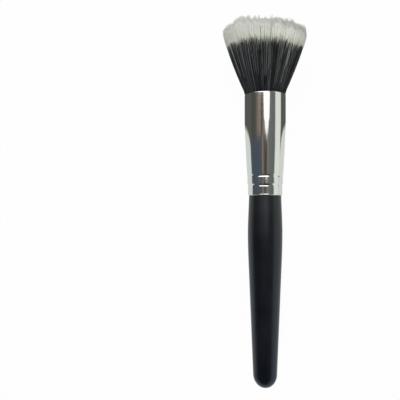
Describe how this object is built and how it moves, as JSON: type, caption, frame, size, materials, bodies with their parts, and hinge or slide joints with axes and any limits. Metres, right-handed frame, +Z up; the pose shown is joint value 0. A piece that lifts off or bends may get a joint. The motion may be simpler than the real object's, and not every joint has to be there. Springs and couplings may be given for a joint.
{
  "type": "stippling brush",
  "caption": "Round stippling brush: flared dark hair with longer white fibre tips, polished aluminium ferrule with crimped grooves, tapered black lacquered handle.",
  "frame": {"origin": "on the table, under the middle of the box of the brush as it lies", "axes": "+Y along the brush towards its head, +Z up, +X across; the brush's own axis leans about 5 degrees up towards the head"},
  "size_m": [0.0398, 0.1712, 0.0392],
  "materials": {
    "handle": "black satin lacquer on turned wood",
    "glue": "set glue",
    "ferrule": "polished",
    "resin": "cast epoxy resin",
    "dark_hair": "black hair",
    "white_fibres": "white synthetic fibre"
  },
  "bodies": {
    "root": {"handle": "handle", "tenon_glue": "glue", "ferrule": "ferrule", "hair_glue": "resin", "dark_hair": "dark_hair", "white_strands": "white_fibres", "white_crown": "white_fibres"}
  },
  "joints": []
}
